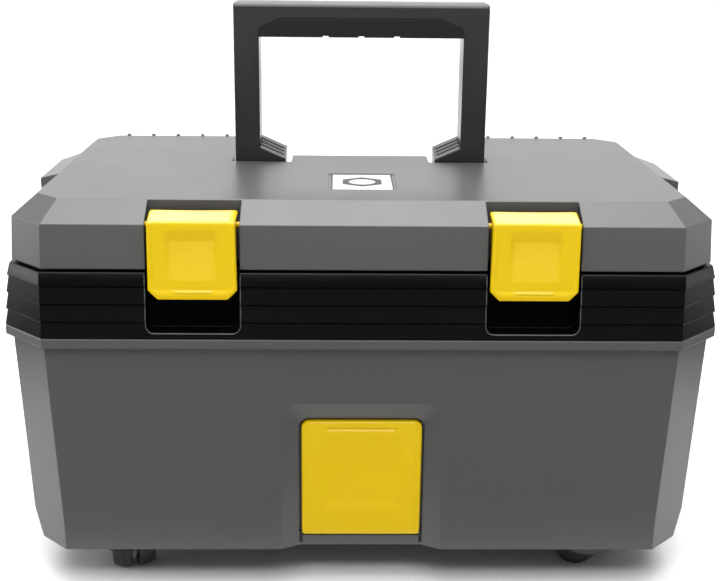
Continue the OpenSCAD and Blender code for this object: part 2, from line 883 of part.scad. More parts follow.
// Pairs of small ribs that hold a removable divider
module divider_slots() {
  front = tray_y - tray_wall - 4;
  for (s = [-1, 1])
    for (y = [-front - 1, -tray_wall / 2 - 3])
      translate([divider_x + s * (divider_t / 2 + seat_gap + 0.8) - 0.8, y, tray_base + 1])
        cube([1.6, y < -10 ? 4.5 : 3.5, tray_depth - 8]);
}

module tray_divider(side) {
  y0 = tray_wall + 4.6 - tray_y;
  y1 = -tray_wall / 2 - seat_gap;
  base = tray_base + tray_wall + seat_gap;
  color(BLACK)
    translate([side * divider_x, 0, 0])
      block([-divider_t / 2, y0, base], [divider_t / 2, y1, tray_z]);
}

// ---------- Casters ----------
module at_caster(c) {
  translate([c[1] * caster_x, c[2] * caster_y, 0]) rotate([0, 0, c[3]]) children();
}

module at_wheels(c) {
  at_caster(c) translate([0, trail, wheel_r]) children();
}

// Ball-shaped twin wheel, its inner face at x = 0
module wheel_shape() {
  tread = 4;
  a = asin((wheel_w - tread) / wheel_r);
  rotate([0, 90, 0])
    rotate_extrude()
      polygon(concat([[axle_d / 2 + fit, 0], [wheel_r, 0]],
        [for (i = [0:8]) [wheel_r * cos(a * i / 8), tread + wheel_r * sin(a * i / 8)]],
        [[axle_d / 2 + fit, wheel_w]]));
}

module caster_wheel(c, side) {
  color(BLACK)
    at_wheels(c)
      mirror([side < 0 ? 1 : 0, 0, 0]) translate([wheel_gap, 0, 0]) wheel_shape();
}

// Room for one wheel inside the hood, its inner face at x = 0
module wheel_room() {
  tread = 4;
  a = asin((wheel_w - tread) / wheel_r);
  rotate([0, 90, 0])
    rotate_extrude()
      polygon(concat([[0, -0.6], [pocket_r, -0.6]],
        [for (i = [0:8]) [pocket_r * cos(a * i / 8), tread + pocket_r * sin(a * i / 8)]],
        [[0, wheel_w + 1.2]]));
}

// Dome of the hood, without its web
module hood_dome() {
  skirt = hood_r - 1.8;
  dome_r = 20;
  difference() {
    rotate_extrude()
      polygon(concat([[0, hood_rim], [hood_r, hood_rim]],
        arc(hood_r - dome_r, hood_top - dome_r, dome_r, 0, 90), [[0, hood_top]]));
    translate([0, trail, wheel_r])
      mirror_pair() translate([wheel_gap, 0, 0]) wheel_room();
    translate([0, 0, hood_rim - 1]) cylinder(r1 = skirt, r2 = skirt - 3, h = 9);
  }
}

module hood_web() {
  half = wheel_gap - 0.6;
  slab_x(-half, half)
    polygon(concat([[-7, hood_top - 5], [-3, hood_rim + 4]], arc(trail, wheel_r, 5.5, 200, 360, 10),
      [[trail + 7, hood_top - 12], [trail, hood_top - 4]]));
}

module caster_hood(c) {
  color(GREY)
    at_caster(c)
      difference() {
        union() {
          hood_dome();
          hood_web();
        }
        translate([0, trail, wheel_r]) rod_x(-wheel_gap, wheel_gap, axle_d / 2 + fit);
        translate([0, 0, stem_foot]) cylinder(r = stem_d / 2, h = 20);
      }
}

module caster_stem(c) {
  r = stem_d / 2;
  color(STEEL)
    at_caster(c)
      rotate_extrude()
        polygon([
          [0, stem_foot], [r, stem_foot], [r, hood_top + 0.2], [r + 3, hood_top + 0.2],
          [r + 3, caster_well_z - 0.4], [r, caster_well_z - 0.4], [r, stem_top - 7], [r - 0.8, stem_top - 7],
          [r - 0.8, stem_top - 5], [r, stem_top - 5], [r, stem_top - 1], [r - 1, stem_top], [0, stem_top]
        ]);
}

module caster_axle(c) {
  color(STEEL) at_wheels(c) rod_x(-axle_half, axle_half, axle_d / 2);
}

tub();
rim_frame();
lid();
lid_hinge_pin(-1);  // lid_hinge_pin_left
lid_hinge_pin(1);  // lid_hinge_pin_right
label_plate();
translate([-latch_x, 0, 0]) latch();  // latch_left
translate([latch_x, 0, 0]) latch();  // latch_right
handle_frame();
handle_grip();
handle_pin(-1);  // handle_pin_left
handle_pin(1);  // handle_pin_right
front_door();
door_hinge_pin();
tray();
tray_divider(-1);  // tray_divider_left
tray_divider(1);  // tray_divider_right
for (c = CASTERS) {
  caster_hood(c);
  caster_stem(c);
  caster_axle(c);
  caster_wheel(c, -1);
  caster_wheel(c, 1);
}
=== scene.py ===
"""Looks of a wheeled toolbox with a lift-out tray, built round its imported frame.

Every piece is in metres in the frame's own axes: +X right, +Y rear, +Z up, with the
origin on the floor under the middle of the box. Sizes in the classes are millimetres.
"""

import json
import logging
import math
from collections.abc import Sequence
from dataclasses import dataclass
from enum import Enum

import bmesh
import bpy
from mathutils import Matrix, Vector

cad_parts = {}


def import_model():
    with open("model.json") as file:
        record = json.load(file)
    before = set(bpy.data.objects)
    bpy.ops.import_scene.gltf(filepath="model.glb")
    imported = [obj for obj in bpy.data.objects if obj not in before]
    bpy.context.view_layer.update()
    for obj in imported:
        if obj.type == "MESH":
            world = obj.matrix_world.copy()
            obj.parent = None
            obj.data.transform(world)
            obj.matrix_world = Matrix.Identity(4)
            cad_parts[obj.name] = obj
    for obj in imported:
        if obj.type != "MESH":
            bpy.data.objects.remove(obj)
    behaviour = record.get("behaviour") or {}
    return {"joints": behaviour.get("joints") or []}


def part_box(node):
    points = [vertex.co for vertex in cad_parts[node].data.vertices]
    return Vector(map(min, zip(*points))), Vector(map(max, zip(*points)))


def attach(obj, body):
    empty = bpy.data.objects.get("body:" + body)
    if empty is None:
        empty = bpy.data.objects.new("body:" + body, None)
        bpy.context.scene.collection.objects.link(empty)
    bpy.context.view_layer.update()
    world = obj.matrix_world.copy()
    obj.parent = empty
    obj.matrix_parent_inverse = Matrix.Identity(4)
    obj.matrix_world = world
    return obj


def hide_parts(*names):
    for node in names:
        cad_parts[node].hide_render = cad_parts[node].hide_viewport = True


MM = 0.001
# middle of each latch and its pocket, from the middle of the box
LATCH_OFFSET = 134.0
# steps across a rounded edge
EDGE_STEPS = 3
LOG = logging.getLogger("toolbox")
Point = tuple[float, float, float]
Flat = tuple[float, float]


class Side(Enum):
    """The left or the right one of a pair, with the sign of its x."""

    LEFT = -1
    RIGHT = 1

    @property
    def label(self) -> str:
        """Gives the word used in names."""
        return self.name.lower()


class CasterPlace(Enum):
    """A caster's corner as the signs of x and y, and the heading of its wheels in degrees."""

    FRONT_LEFT = (-1, -1, 195.0)
    FRONT_RIGHT = (1, -1, 62.0)
    REAR_LEFT = (-1, 1, -35.0)
    REAR_RIGHT = (1, 1, 25.0)

    @property
    def label(self) -> str:
        """Gives the word used in names."""
        return self.name.lower()


# ---------- Colours and nodes ----------


def linear(code: str) -> tuple[float, float, float, float]:
    """Turns an sRGB hex colour into the linear values that shaders take.

    Args:
        code: colour such as "#66676a".

    Returns:
        Linear red, green and blue, and an alpha of 1.
    """
    parts = [int(code[i : i + 2], 16) / 255 for i in (1, 3, 5)]
    red, green, blue = (c / 12.92 if c <= 0.04045 else ((c + 0.055) / 1.055) ** 2.4 for c in parts)
    return red, green, blue, 1.0


def add_node(
    tree: bpy.types.NodeTree, kind: str, inputs: dict[str | int, object] | None = None, **settings: object
) -> bpy.types.Node:
    """Adds a node with its settings, socket values and links.

    Args:
        tree: node tree that takes it.
        kind: Blender's name of the node type.
        inputs: socket name or number to a value, or to the output socket it is linked from.
        settings: attributes of the node.

    Returns:
        The new node.
    """
    node = tree.nodes.new(kind)
    for key, value in settings.items():
        setattr(node, key, value)
    for key, value in (inputs or {}).items():
        if isinstance(value, bpy.types.NodeSocket):
            tree.links.new(value, node.inputs[key])
        else:
            node.inputs[key].default_value = value
    return node


def blank_material(name: str) -> tuple[bpy.types.Material, bpy.types.NodeTree, bpy.types.Node]:
    """Makes a material that holds only its shader.

    Args:
        name: name of the material.

    Returns:
        The material, its node tree and its Principled shader.
    """
    material = bpy.data.materials.new(name)
    material.use_nodes = True
    tree = material.node_tree
    return material, tree, tree.nodes["Principled BSDF"]


def mix_colours(
    tree: bpy.types.NodeTree, factor: bpy.types.NodeSocket, first: object, second: object
) -> bpy.types.NodeSocket:
    """Mixes two colours.

    Args:
        tree: node tree.
        factor: share of the second colour.
        first: colour or socket at a factor of 0.
        second: colour or socket at a factor of 1.

    Returns:
        The mixed colour's socket.
    """
    node = add_node(tree, "ShaderNodeMix", {0: factor, 6: first, 7: second}, data_type="RGBA")
    return node.outputs[2]


# ---------- Finishes ----------


@dataclass(frozen=True)
class MouldedPlastic:
    """A thermoplastic pressed against a steel mould; the mould's etching sets its sheen.

    The lengths are real ones: the etching's grain and depth, the broken edge's radius, the
    patches that handling leaves and the slow drift of tone.
    """

    name: str
    colour: str
    drift_colour: str
    roughness: float
    roughness_drift: float
    ior: float
    specular: float
    grain_mm: float
    grain_depth_mm: float
    edge_mm: float = 0.4
    drift_mm: float = 90.0
    marks_mm: float = 38.0

    def build(self) -> bpy.types.Material:
        """Builds the shader.

        Returns:
            The material.
        """
        material, tree, shader = blank_material(self.name)
        place = add_node(tree, "ShaderNodeTexCoord").outputs["Object"]
        # slow drift of tone, as the pigment spreads in the melt
        drift = add_node(
            tree, "ShaderNodeTexNoise", {"Vector": place, "Scale": 1 / (self.drift_mm * MM), "Detail": 3.0}
        )
        tone = mix_colours(tree, drift.outputs["Fac"], linear(self.colour), linear(self.drift_colour))
        tree.links.new(tone, shader.inputs["Base Color"])
        # handling marks: patches a few centimetres wide that are a little duller
        marks = add_node(
            tree, "ShaderNodeTexNoise", {"Vector": place, "Scale": 1 / (self.marks_mm * MM), "Detail": 4.0}
        )
        rough = add_node(
            tree,
            "ShaderNodeMapRange",
            {
                "Value": marks.outputs["Fac"],
                "From Min": 0.3,
                "From Max": 0.7,
                "To Min": self.roughness - self.roughness_drift,
                "To Max": self.roughness + self.roughness_drift,
            },
        )
        tree.links.new(rough.outputs["Result"], shader.inputs["Roughness"])
        grain = add_node(
            tree, "ShaderNodeTexNoise", {"Vector": place, "Scale": 1 / (self.grain_mm * MM), "Detail": 2.0}
        )
        # the mould's edges are broken, so light runs round them
        edge = add_node(tree, "ShaderNodeBevel", {"Radius": self.edge_mm * MM}, samples=6)
        bump = add_node(
            tree,
            "ShaderNodeBump",
            {
                "Height": grain.outputs["Fac"],
                "Distance": self.grain_depth_mm * MM,
                "Strength": 1.0,
                "Normal": edge.outputs["Normal"],
            },
        )
        tree.links.new(bump.outputs["Normal"], shader.inputs["Normal"])
        shader.inputs["IOR"].default_value = self.ior
        shader.inputs["Specular IOR Level"].default_value = self.specular
        return material


@dataclass(frozen=True)
class PlatedSteel:
    """Turned steel bar under a thin coat laid on in a barrel; fine turning lines still show."""

    name: str
    colour: str
    dull_colour: str
    roughness: float
    line_mm: float
    cloud_mm: float = 6.0
    line_depth_mm: float = 0.01

    def build(self) -> bpy.types.Material:
        """Builds the shader.

        Returns:
            The material.
        """
        material, tree, shader = blank_material(self.name)
        place = add_node(tree, "ShaderNodeTexCoord").outputs["Object"]
        cloud = add_node(
            tree, "ShaderNodeTexNoise", {"Vector": place, "Scale": 1 / (self.cloud_mm * MM), "Detail": 4.0}
        )
        colour = mix_colours(tree, cloud.outputs["Fac"], linear(self.colour), linear(self.dull_colour))
        tree.links.new(colour, shader.inputs["Base Color"])
        rough = add_node(
            tree,
            "ShaderNodeMapRange",
            {"Value": cloud.outputs["Fac"], "To Min": self.roughness - 0.08, "To Max": self.roughness + 0.12},
        )
        tree.links.new(rough.outputs["Result"], shader.inputs["Roughness"])
        lines = add_node(tree, "ShaderNodeTexNoise", {"Vector": place, "Scale": 1 / (self.line_mm * MM)})
        relief = {"Height": lines.outputs["Fac"], "Distance": self.line_depth_mm * MM}
        bump = add_node(tree, "ShaderNodeBump", relief)
        tree.links.new(bump.outputs["Normal"], shader.inputs["Normal"])
        shader.inputs["Metallic"].default_value = 1.0
        return material


@dataclass(frozen=True)
class StudioFloor:
    """Matt white board, as a studio floor."""

    name: str = "painted_board_pale"
    colour: str = "#dadada"
    fleck: str = "#d7d7d7"

    def build(self) -> bpy.types.Material:
        """Builds the shader.

        Returns:
            The material.
        """
        material, tree, shader = blank_material(self.name)
        place = add_node(tree, "ShaderNodeTexCoord").outputs["Object"]
        cloud = add_node(tree, "ShaderNodeTexNoise", {"Vector": place, "Scale": 4.0, "Detail": 3.0})
        colour = mix_colours(tree, cloud.outputs["Fac"], linear(self.colour), linear(self.fleck))
        tree.links.new(colour, shader.inputs["Base Color"])
        shader.inputs["Roughness"].default_value = 0.7
        shader.inputs["Specular IOR Level"].default_value = 0.2
        return material


# Polypropylene from an etched mould: satin, so lights smear into wide soft glows. The real
# etching is about 0.3 mm across; it is drawn at 0.9 mm, the finest that shows.
GREY_SHELL = MouldedPlastic(
    "polypropylene_grey_satin", "#484848", "#4a4a4a", 0.35, 0.015, 1.49, 0.55, 0.9, 0.006, 1.3
)
# The same plastic in black, from a smoother mould, so its faces stay deep and its edges glint.
BLACK_RIM = MouldedPlastic(
    "polypropylene_black_satin", "#020202", "#040404", 0.25, 0.02, 1.49, 0.14, 0.8, 0.005, 0.9
)
# The beads round the latch pockets: glossy black plastic given a grey base colour, which paints the highlight
# that runs along the pocket edges.
PAINTED_HIGHLIGHT_BEAD = MouldedPlastic(
    "polypropylene_black_glossy", "#3a3a3a", "#404040", 0.2, 0.02, 1.49, 0.6, 0.8, 0.001
)
# Glass-filled nylon: fibres near the skin leave it duller and a little greyer than the rim.
BLACK_HANDLE = MouldedPlastic(
    "nylon_black_glass_filled", "#141414", "#171717", 0.30, 0.03, 1.53, 0.6, 0.7, 0.005, 2.2
)
# A matt insert from a spark-eroded mould: no clear reflections.
BLACK_GRIP = MouldedPlastic(
    "nylon_black_matt_insert", "#131313", "#161616", 0.42, 0.03, 1.53, 0.35, 0.8, 0.010, 0.6
)
# ABS from a polished mould: clear glints on its round edges over a strong even yellow.
YELLOW_ABS = MouldedPlastic(
    "abs_yellow_polished", "#cbaa00", "#cdad00", 0.20, 0.02, 1.54, 0.34, 1.2, 0.002, 0.5, 60.0
)
# High-impact polystyrene sheet, die cut: flat, pale and faintly glossy.
LABEL_SHEET = MouldedPlastic(
    "polystyrene_white_sheet", "#bebebe", "#b8b8b8", 0.30, 0.03, 1.59, 0.4, 1.5, 0.003
)
# Screen-printing ink with a graphite filler: a dark satin film.
LABEL_INK = MouldedPlastic("printing_ink_graphite", "#0c0c0c", "#121212", 0.40, 0.04, 1.5, 0.3, 0.7, 0.004)
# Nylon for the caster hoods: tough, slightly waxy, scuffed at the rim.
CASTER_NYLON = MouldedPlastic(
    "nylon_grey_caster", "#3a3a3b", "#434344", 0.42, 0.07, 1.53, 0.45, 0.7, 0.012, 0.7, 25.0
)
# Polyurethane tyre material: dark, softly glossy, dulled where it rolls.
WHEEL_RUBBER = MouldedPlastic(
    "polyurethane_black_wheel", "#121212", "#1b1b1b", 0.42, 0.1, 1.5, 0.4, 0.6, 0.015, 0.4, 18.0
)
# The tray is moulded in the rim's plastic from a coarser mould, so it looks duller.
TRAY_PLASTIC = MouldedPlastic(
    "polypropylene_black_matt", "#171717", "#1c1c1c", 0.5, 0.04, 1.49, 0.35, 0.9, 0.015, 0.8
)
# Zinc-plated steel: barrel plating leaves it bright, with dull clouds a few millimetres wide.
PIN_STEEL = PlatedSteel("steel_zinc_plated", "#b9bcc0", "#a9acb1", 0.28, 0.5)
# Blackened steel: the oxide leaves a thin dark skin with a metal's sheen.
BLACK_STEEL = PlatedSteel("steel_black_oxide", "#2a2b2d", "#222325", 0.4, 0.5)
# Black card seen only in reflections: it paints dark reflections where the lit white floor would show.
DARK_REFLECTION_CARD = MouldedPlastic("card_black_flocked", "#060606", "#080808", 0.9, 0.02, 1.45, 0.1, 2.0, 0.01)


class Palette:
    """Builds each finish once and hands it out."""

    def __init__(self) -> None:
        """Starts with nothing built."""
        self._built: dict[str, bpy.types.Material] = {}

    def get(self, finish: MouldedPlastic | PlatedSteel | StudioFloor) -> bpy.types.Material:
        """Gives the material of a finish, building it on first use."""
        if finish.name not in self._built:
            self._built[finish.name] = finish.build()
        return self._built[finish.name]


# ---------- Meshes ----------


@dataclass
class MeshParts:
    """Vertices in millimetres and faces, gathered before one mesh is made of them."""

    points: list[Point]
    faces: list[tuple[int, ...]]

    @classmethod
    def empty(cls) -> "MeshParts":
        """Gives an empty gathering."""
        return cls([], [])

    def add(self, points: Sequence[Point], faces: Sequence[Sequence[int]]) -> None:
        """Adds a closed shell."""
        base = len(self.points)
        self.points.extend(points)
        self.faces.extend(tuple(i + base for i in face) for face in faces)

    def loft(self, rings: Sequence[Sequence[Point]]) -> None:
        """Adds a shell through closed rings of equal length, with flat ends.

        Args:
            rings: the rings in order.
        """
        count = len(rings[0])
        points = [p for ring in rings for p in ring]
        faces: list[tuple[int, ...]] = []
        for k in range(len(rings) - 1):
            for i in range(count):
                j = (i + 1) % count
                faces.append((k * count + i, k * count + j, (k + 1) * count + j, (k + 1) * count + i))
        faces.append(tuple(reversed(range(count))))
        last = (len(rings) - 1) * count
        faces.append(tuple(range(last, last + count)))
        self.add(points, faces)

    def prism_x(self, outline: Sequence[Flat], x0: float, x1: float) -> None:
        """Adds an outline in y and z, drawn out along x."""
        self.loft([[(x, y, z) for y, z in outline] for x in (x0, x1)])

    def lathe_x(self, profile: Sequence[Flat], centre: Point, segments: int) -> None:
        """Adds a profile of x and radius turned round the x axis.

        Args:
            profile: (x, radius) from one end of the axis to the other; the ends close flat.
            centre: point of the axis at x = 0.
            segments: steps round the axis.
        """
        rings = []
        for x, r in profile:
            ring = []
            for i in range(segments):
                a = 2 * math.pi * i / segments
                ring.append((centre[0] + x, centre[1] + r * math.cos(a), centre[2] + r * math.sin(a)))
            rings.append(ring)
        self.loft(rings)

    def tube(self, spine: Sequence[Point], radius: float, sides: int = 8) -> None:
        """Adds a thin tube along a line that lies about flat to the front.

        Args:
            spine: points of the line.
            radius: radius of the tube.
            sides: corners of its section.
        """
        rings = []
        for k, here in enumerate(spine):
            ahead = Vector(spine[min(k + 1, len(spine) - 1)]) - Vector(spine[max(k - 1, 0)])
            out = Vector((0, -1, 0))
            across = ahead.normalized().cross(out).normalized()
            out = across.cross(ahead.normalized())
            ring = []
            for i in range(sides):
                a = 2 * math.pi * i / sides
                ring.append(tuple(Vector(here) + radius * (math.cos(a) * across + math.sin(a) * out)))
            rings.append(ring)
        self.loft(rings)

    def build(self, name: str, matrix: Matrix | None = None) -> bpy.types.Object:
        """Makes the object, with its normals outwards.

        Args:
            name: name of the object and its mesh.
            matrix: placement in millimetres, or None.

        Returns:
            The new object, with its place in its vertices.
        """
        place = matrix or Matrix.Identity(4)
        mesh = bpy.data.meshes.new(name)
        mesh.from_pydata([MM * (place @ Vector(p)) for p in self.points], [], self.faces)
        piece = bpy.data.objects.new(name, mesh)
        bpy.context.scene.collection.objects.link(piece)
        mesh.validate()
        face_outwards(mesh)
        return piece


def face_outwards(mesh: bpy.types.Mesh) -> None:
    """Turns every closed shell of a mesh so that its normals point out."""
    work = bmesh.new()
    work.from_mesh(mesh)
    bmesh.ops.recalc_face_normals(work, faces=work.faces)
    work.to_mesh(mesh)
    work.free()


def smooth_by_angle(mesh: bpy.types.Mesh, degrees: float) -> None:
    """Shades a mesh smooth, apart from edges sharper than an angle."""
    mesh.polygons.foreach_set("use_smooth", [True] * len(mesh.polygons))
    mesh.set_sharp_from_angle(angle=math.radians(degrees))


def round_edges(piece: bpy.types.Object, width_mm: float, degrees: float) -> None:
    """Rounds the sharp edges of a moulded piece with modifiers, which leave its mesh alone.

    Args:
        piece: object to round.
        width_mm: width of the rounding.
        degrees: edges that bend less than this stay as they are.
    """
    weld = piece.modifiers.new("join_faces", "WELD")
    weld.merge_threshold = 0.0005 * MM
    flat = piece.modifiers.new("flat_faces", "DECIMATE")
    flat.decimate_type = "DISSOLVE"
    flat.angle_limit = math.radians(0.6)
    split = piece.modifiers.new("split_faces", "TRIANGULATE")
    split.ngon_method = "BEAUTY"
    bevel = piece.modifiers.new("round_edges", "BEVEL")
    bevel.limit_method = "ANGLE"
    bevel.angle_limit = math.radians(degrees)
    bevel.width = width_mm * MM
    bevel.segments = EDGE_STEPS
    bevel.use_clamp_overlap = True
    bevel.miter_outer = "MITER_ARC"
    bevel.harden_normals = True


# ---------- Base class ----------


@dataclass
class Assembly:
    """A sub-assembly that dresses its frame nodes and adds its own pieces."""

    palette: Palette

    def dress(
        self, node: str, finish: MouldedPlastic | PlatedSteel, edge_mm: float, degrees: float = 28.0
    ) -> bpy.types.Object:
        """Gives a frame node its finish and round edges.

        Args:
            node: name of the node.
            finish: its finish.
            edge_mm: width of its rounded edges, or 0 for none.
            degrees: edges that bend less than this stay as they are.

        Returns:
            The node's object.
        """
        piece = bpy.data.objects[node]
        piece.data.materials.clear()
        piece.data.materials.append(self.palette.get(finish))
        if edge_mm > 0:
            clear_custom_normals(piece.data)
            piece.data.polygons.foreach_set("use_smooth", [True] * len(piece.data.polygons))
            round_edges(piece, edge_mm, degrees)
        LOG.info("dressed %s with %s", node, finish.name)
        return piece

    def finish_piece(
        self,
        piece: bpy.types.Object,
        finish: MouldedPlastic | PlatedSteel,
        body: str,
        slot: str,
        stands_for: Sequence[str] = (),
        degrees: float = 40.0,
    ) -> bpy.types.Object:
        """Dresses a made piece and puts it on its body.

        Args:
            piece: the piece, in place.
            finish: its finish.
            body: frame body that it rides on.
            slot: material slot of the record; not used.
            stands_for: frame nodes that it replaces.
            degrees: edges sharper than this stay crisp.

        Returns:
            The piece.
        """
        piece.data.materials.append(self.palette.get(finish))
        smooth_by_angle(piece.data, degrees)
        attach(piece, body)
        if stands_for:
            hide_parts(*stands_for)
        LOG.info("made %s on %s", piece.name, body)
        return piece


def clear_custom_normals(mesh: bpy.types.Mesh) -> None:
    """Drops stored corner normals, so that the rounding modifiers shade the mesh afresh."""
    layer = mesh.attributes.get("custom_normal")
    if layer is not None:
        mesh.attributes.remove(layer)


def smooth_min(a: float, b: float, soft: float) -> float:
    """Gives the smaller of two numbers, rounded where they are closer than soft."""
    h = max(0.0, soft - abs(a - b)) / soft
    return min(a, b) - h * h * soft / 4


def ease(low: float, high: float, value: float) -> float:
    """Rises smoothly from 0 at low to 1 at high."""
    t = min(1.0, max(0.0, (value - low) / (high - low)))
    return t * t * (3 - 2 * t)


def capsule_depth(x: float, s: float, centre: float, half: float, radius: float) -> float:
    """Depth of a finger groove with round ends.

    Args:
        x: distance from its middle along it.
        s: position across it.
        centre: position of its line across.
        half: half of its straight length.
        radius: its radius.

    Returns:
        Depth in millimetres.
    """
    d = math.hypot(max(0.0, abs(x) - half), s - centre)
    return 0.75 * math.sqrt(max(0.0, radius * radius - d * d))


def round_over(edge: float, radius: float) -> float:
    """Depth of a quarter-round at a distance from an edge."""
    return radius - math.sqrt(max(0.0, radius**2 - max(0.0, radius - edge) ** 2))


def spread(count: int, dense: float = 0.7) -> list[float]:
    """Gives positions from -1 to 1 that crowd towards both ends."""
    flat = [2 * i / (count - 1) - 1 for i in range(count)]
    return [dense * math.sin(u * math.pi / 2) + (1 - dense) * u for u in flat]


# ---------- Sub-assemblies ----------


@dataclass
class Shell(Assembly):
    """The grey tub with its front bin, and the pins that stay in it."""

    edge_mm: float = 1.3

    def build(self) -> None:
        """Dresses the tub and the hinge pins."""
        self.dress("tub", GREY_SHELL, self.edge_mm, 12.0)
        for node in ("lid_hinge_pin_left", "lid_hinge_pin_right"):
            self.dress(node, PIN_STEEL, 0.3)
        self.dress("door_hinge_pin", BLACK_STEEL, 0.3)


@dataclass
class RimFrame(Assembly):
    """The black frame between tub and lid."""

    edge_mm: float = 0.8
    pocket_half: float = 37.4
    pocket_low: float = 229.2
    pocket_high: float = 276.0
    pocket_corner: float = 6.8
    bead: float = 0.5
    ahead: float = 300.0

    def build(self) -> None:
        """Dresses the frame and lays the beads, whose grey colour paints a highlight, round its latch
        pockets.
        """
        rim = self.dress("rim_frame", BLACK_RIM, self.edge_mm)
        for side in Side:
            self.pocket_bead(rim, side)

    def pocket_path(self, middle: float) -> list[Flat]:
        """Gives the line just outside a pocket as x and z, down one side, across and up the other."""
        half, low, corner = self.pocket_half, self.pocket_low, self.pocket_corner
        straight = self.pocket_high - low - corner
        path: list[Flat] = [(middle - half, low + corner + straight * (1 - i / 20)) for i in range(21)]
        for i in range(1, 9):
            a = math.pi / 2 * i / 9
            path.append((middle - half + corner * (1 - math.cos(a)), low + corner * (1 - math.sin(a))))
        path += [(middle + (half - corner) * (i / 8 - 1), low) for i in range(9)]
        return path + [(2 * middle - x, z) for x, z in reversed(path[:-1])]

    def pocket_bead(self, rim: bpy.types.Object, side: Side) -> bpy.types.Object:
        """Makes a fine bead along a pocket's edge, laid on the frame's ridged face; its grey colour is a
        painted highlight.

        Args:
            rim: the frame.
            side: which pocket.

        Returns:
            The bead.
        """
        spine = []
        for x, z in self.pocket_path(side.value * LATCH_OFFSET):
            hit, place, _, _ = rim.ray_cast(Vector((x, -self.ahead, z)) * MM, Vector((0, 1, 0)))
            spine.append((x, place.y / MM if hit else spine[-1][1], z))
        parts = MeshParts.empty()
        parts.tube(spine, self.bead)
        piece = parts.build(f"pocket_bead_{side.label}")
        # grey base colour: a painted highlight along the pocket's edge
        return self.finish_piece(piece, PAINTED_HIGHLIGHT_BEAD, "base", "black_plastic", degrees=60.0)


@dataclass
class Lid(Assembly):
    """The lid, its label plate with a printed mark, and the handle's pins."""

    edge_mm: float = 1.1
    mark_radius: float = 19.0
    mark_stroke: float = 5.2
    mark_height: float = 0.12

    def build(self) -> None:
        """Dresses the lid and prints the mark on its plate."""
        self.dress("lid", GREY_SHELL, self.edge_mm, 12.0)
        self.dress("label_plate", LABEL_SHEET, 0.25)
        for node in ("handle_pin_left", "handle_pin_right"):
            self.dress(node, PIN_STEEL, 0.4)
        low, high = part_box("label_plate")
        centre = (low + high) / (2 * MM)
        self.mark(Vector((centre.x, centre.y, high.z / MM)))

    def mark(self, centre: Vector) -> bpy.types.Object:
        """Makes a plain hexagon ring with a round hole, like a nut seen from above.

        Args:
            centre: middle of the plate's top, in millimetres.

        Returns:
            The printed ring.
        """
        parts = MeshParts.empty()
        steps = 48
        inradius = self.mark_radius * math.cos(math.pi / 6)
        rings = []
        for z, hexagon in ((0.0, True), (self.mark_height, True), (self.mark_height, False), (0.0, False)):
            ring = []
            for i in range(steps):
                a = 2 * math.pi * i / steps
                if hexagon:
                    bend = (a + math.pi / 6) % (math.pi / 3) - math.pi / 6
                    r = inradius / math.cos(bend)
                else:
                    r = inradius - self.mark_stroke
                ring.append((centre.x + r * math.cos(a), centre.y + r * math.sin(a), centre.z + z))
            rings.append(ring)
        points = [p for ring in rings for p in ring]
        faces = []
        for k in range(4):
            for i in range(steps):
                j = (i + 1) % steps
                n = (k + 1) % 4
                faces.append((k * steps + i, k * steps + j, n * steps + j, n * steps + i))
        parts.add(points, faces)
        return self.finish_piece(parts.build("label_mark"), LABEL_INK, "lid", "label_white")


